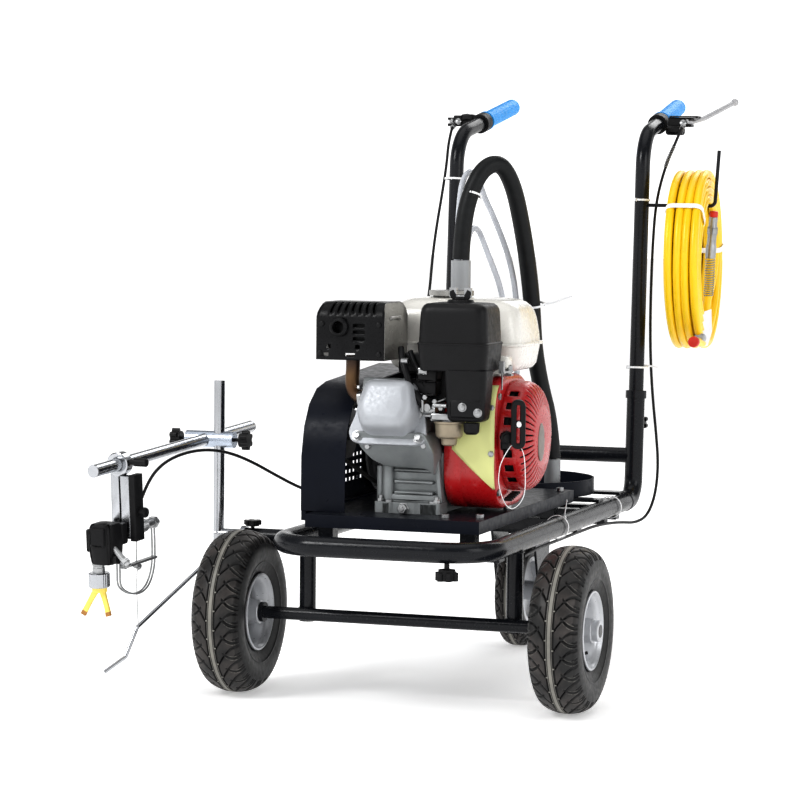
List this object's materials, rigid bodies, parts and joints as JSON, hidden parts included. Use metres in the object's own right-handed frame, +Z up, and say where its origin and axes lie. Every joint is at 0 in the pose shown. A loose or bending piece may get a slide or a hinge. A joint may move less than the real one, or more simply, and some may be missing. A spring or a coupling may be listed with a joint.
{
  "type": "line striping machine",
  "caption": "Walk-behind paint line striper: tube frame on two pneumatic wheels and a rear caster, petrol engine, belt guard, bucket tray, hose coil and side spray gun.",
  "frame": {"origin": "middle of the box's footprint, on the ground", "axes": "+X to the hose-coil side, +Y to the operator at the rear, +Z up"},
  "size_m": [0.8007, 1.3236, 0.9797],
  "materials": {
    "frame_black": "gloss",
    "sheet_black": "satin",
    "tyre_rubber": "matt",
    "rim_silver": "satin",
    "chrome": "polished",
    "zinc": "satin",
    "grip_blue": "matt",
    "black_plastic": "satin",
    "engine_cast": "cast",
    "cover_silver": "satin",
    "tank_cream": "gloss",
    "fan_red": "gloss",
    "hose_black": "satin",
    "hose_grey": "matt",
    "hose_clear": "clear",
    "hose_yellow": "gloss",
    "tip_yellow": "gloss",
    "belt_rubber": "matt",
    "cast_pulley": "machined"
  },
  "bodies": {
    "frame": {"frame_loop": "frame_black", "cross_members": "sheet_black", "axle_frame": "frame_black", "handle_sockets": "frame_black", "engine_tray": "sheet_black", "belt_guard": "sheet_black", "drive_belt": "belt_rubber", "pump_body": "engine_cast", "crankcase": "engine_cast", "cylinder_head": "engine_cast", "rocker_cover": "cover_silver", "muffler": "sheet_black", "fuel_tank": "tank_cream", "air_cleaner": "black_plastic", "air_elbow": "black_plastic", "carburettor": "zinc", "fan_housing": "fan_red", "recoil_cover": "fan_red", "bolts": "zinc", "suction_pipe": "hose_grey", "suction_hose": "hose_black", "return_hoses": "hose_clear", "bucket_tray": "sheet_black", "caster_mount": "sheet_black", "arm_receiver": "zinc", "frame_knobs": "black_plastic", "lever_cables": "hose_black"},
    "wheel_left": {"wheel_left_tyre": "tyre_rubber", "wheel_left_rim": "rim_silver"},
    "wheel_right": {"wheel_right_tyre": "tyre_rubber", "wheel_right_rim": "rim_silver"},
    "caster_swivel": {"caster_fork": "frame_black"},
    "caster_wheel": {"caster_tyre": "tyre_rubber", "caster_rim": "black_plastic"},
    "handles": {"handle_tubes": "frame_black", "grips": "grip_blue", "lever_mounts": "black_plastic", "hose_hook": "frame_black", "hose_coil": "hose_yellow", "hose_fittings": "zinc"},
    "gun_lever": {"gun_lever": "zinc"},
    "brake_lever": {"brake_lever": "zinc"},
    "lock_knob_left": {"lock_knob_left": "black_plastic"},
    "lock_knob_right": {"lock_knob_right": "black_plastic"},
    "crankshaft": {"crank_pulley": "cast_pulley"},
    "pump_drive": {"pump_pulley": "cast_pulley"},
    "tank_cap": {"tank_cap": "zinc"},
    "dipstick": {"dipstick": "black_plastic"},
    "recoil_grip": {"recoil_grip": "black_plastic"},
    "throttle_lever": {"throttle_lever": "zinc"},
    "gun_post": {"gun_post": "chrome"},
    "arm_clamp": {"clamp_block": "chrome", "clamp_knobs": "black_plastic"},
    "gun_arm": {"gun_arm": "chrome", "gun_cable": "hose_black"},
    "gun_holder": {"gun_holder": "zinc"},
    "gun_body": {"gun_body": "zinc"},
    "gun_tip": {"gun_tip": "tip_yellow"},
    "gun_trigger": {"gun_trigger": "zinc"},
    "pointer_rod": {"pointer_rod": "zinc"}
  },
  "joints": [
    {"name": "wheel_left_spin", "type": "hinge", "parent": "frame", "child": "wheel_left", "pos_m": [-0.19666, -0.44219, 0.13], "axis": [1, 0, 0], "continuous": true},
    {"name": "wheel_right_spin", "type": "hinge", "parent": "frame", "child": "wheel_right", "pos_m": [0.35334, -0.44219, 0.13], "axis": [1, 0, 0], "continuous": true},
    {"name": "caster_turn", "type": "hinge", "parent": "frame", "child": "caster_swivel", "pos_m": [0.08334, 0.17281, 0.215], "axis": [0, 0, 1], "continuous": true},
    {"name": "caster_spin", "type": "hinge", "parent": "caster_swivel", "child": "caster_wheel", "pos_m": [0.08334, 0.20781, 0.099], "axis": [1, 0, 0], "continuous": true},
    {"name": "handle_height", "type": "slide", "parent": "frame", "child": "handles", "axis": [0, 0.0599, 0.9982], "range_m": [0, 0.08]},
    {"name": "gun_lever_pull", "type": "hinge", "parent": "handles", "child": "gun_lever", "pos_m": [-0.14066, 0.48181, 0.9322], "axis": [0, 0, 1], "range_deg": [-12, 0], "stiffness_Nm_per_rad": 0.4},
    {"name": "brake_lever_pull", "type": "hinge", "parent": "handles", "child": "brake_lever", "pos_m": [0.30734, 0.48181, 0.9322], "axis": [0, 0, 1], "range_deg": [0, 15], "stiffness_Nm_per_rad": 0.6},
    {"name": "lock_knob_left_turn", "type": "hinge", "parent": "frame", "child": "lock_knob_left", "pos_m": [-0.09066, 0.35033, 0.393], "axis": [0, 1, 0], "continuous": true},
    {"name": "lock_knob_right_turn", "type": "hinge", "parent": "frame", "child": "lock_knob_right", "pos_m": [0.25734, 0.35033, 0.393], "axis": [0, 1, 0], "continuous": true},
    {"name": "pump_spin", "type": "hinge", "parent": "frame", "child": "pump_drive", "pos_m": [-0.05866, -0.12219, 0.385], "axis": [1, 0, 0], "continuous": true},
    {"name": "crank_spin", "type": "hinge", "parent": "frame", "child": "crankshaft", "pos_m": [-0.05866, -0.34719, 0.415], "axis": [1, 0, 0], "continuous": true},
    {"name": "tank_cap_turn", "type": "hinge", "parent": "frame", "child": "tank_cap", "pos_m": [0.10534, -0.29219, 0.641], "axis": [0, 0, 1], "range_deg": [0, 90]},
    {"name": "dipstick_turn", "type": "hinge", "parent": "frame", "child": "dipstick", "pos_m": [0.04334, -0.41719, 0.352], "axis": [1, 0, 0], "continuous": true},
    {"name": "recoil_pull", "type": "slide", "parent": "frame", "child": "recoil_grip", "axis": [0, -1, 0], "range_m": [0, 0.3], "stiffness_N_per_m": 40},
    {"name": "throttle", "type": "hinge", "parent": "frame", "child": "throttle_lever", "pos_m": [0.23434, -0.39819, 0.526], "axis": [0, 0, 1], "range_deg": [0, 35]},
    {"name": "gun_post_slide", "type": "slide", "parent": "frame", "child": "gun_post", "axis": [-1, 0, 0], "range_m": [0, 0.06]},
    {"name": "arm_clamp_height", "type": "slide", "parent": "gun_post", "child": "arm_clamp", "axis": [0, 0, 1], "range_m": [-0.03, 0.07]},
    {"name": "gun_arm_slide", "type": "slide", "parent": "arm_clamp", "child": "gun_arm", "axis": [0.1438, 0.9866, 0.077], "range_m": [-0.1, 0]},
    {"name": "gun_holder_turn", "type": "hinge", "parent": "gun_arm", "child": "gun_holder", "pos_m": [-0.34544, -0.58319, 0.37201], "axis": [0.1438, 0.9866, 0.077], "range_deg": [-10, 20]},
    {"name": "gun_roll", "type": "hinge", "parent": "gun_holder", "child": "gun_body", "pos_m": [-0.34127, -0.5754, 0.26433], "axis": [0.1438, 0.9866, 0.077], "range_deg": [-15, 20]},
    {"name": "spray_tip_turn", "type": "hinge", "parent": "gun_body", "child": "gun_tip", "pos_m": [-0.3676, -0.61044, 0.19115], "axis": [-0.0111, -0.0762, 0.997], "range_deg": [0, 90]},
    {"name": "gun_trigger_pull", "type": "hinge", "parent": "gun_body", "child": "gun_trigger", "pos_m": [-0.33536, -0.59035, 0.2111], "axis": [0.9895, -0.1443, 0], "range_deg": [0, 12], "stiffness_Nm_per_rad": 0.3},
    {"name": "pointer_swing", "type": "hinge", "parent": "frame", "child": "pointer_rod", "pos_m": [-0.23866, -0.31719, 0.236], "axis": [1, 0, 0], "range_deg": [-8, 0]}
  ],
  "couplings": [
    {"joint": "crank_spin", "follows": "pump_spin", "ratio": 2}
  ]
}
